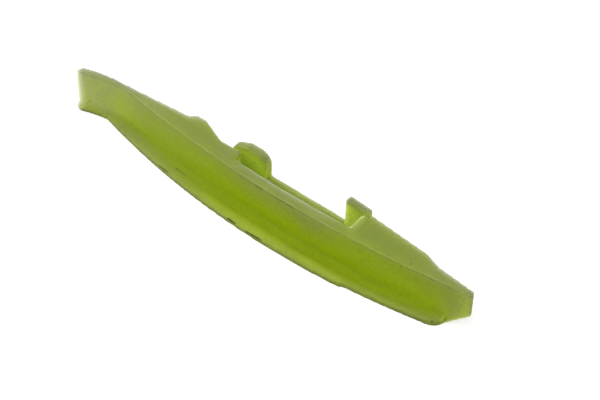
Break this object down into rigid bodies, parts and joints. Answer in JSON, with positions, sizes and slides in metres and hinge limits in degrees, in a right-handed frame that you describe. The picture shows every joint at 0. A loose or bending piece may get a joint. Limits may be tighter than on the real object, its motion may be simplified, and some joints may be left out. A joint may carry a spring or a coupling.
{
  "type": "timing chain guide",
  "caption": "Slim bowed guide rail of translucent green nylon with a side flange that keeps the chain on its running face, a hollow lead-in lip and a bracket pocket with clip tabs behind.",
  "frame": {"origin": "on the flat side face, under the middle of the guide's length and depth", "axes": "+X along the guide from the lip to the tip, -Y out of the running face, +Z across the chain from the flanged side to the open side"},
  "size_m": [0.1226, 0.0166, 0.015],
  "materials": {
    "nylon": "moulded, slightly translucent, satin"
  },
  "bodies": {
    "root": {"guide_rail": "nylon"}
  },
  "joints": []
}
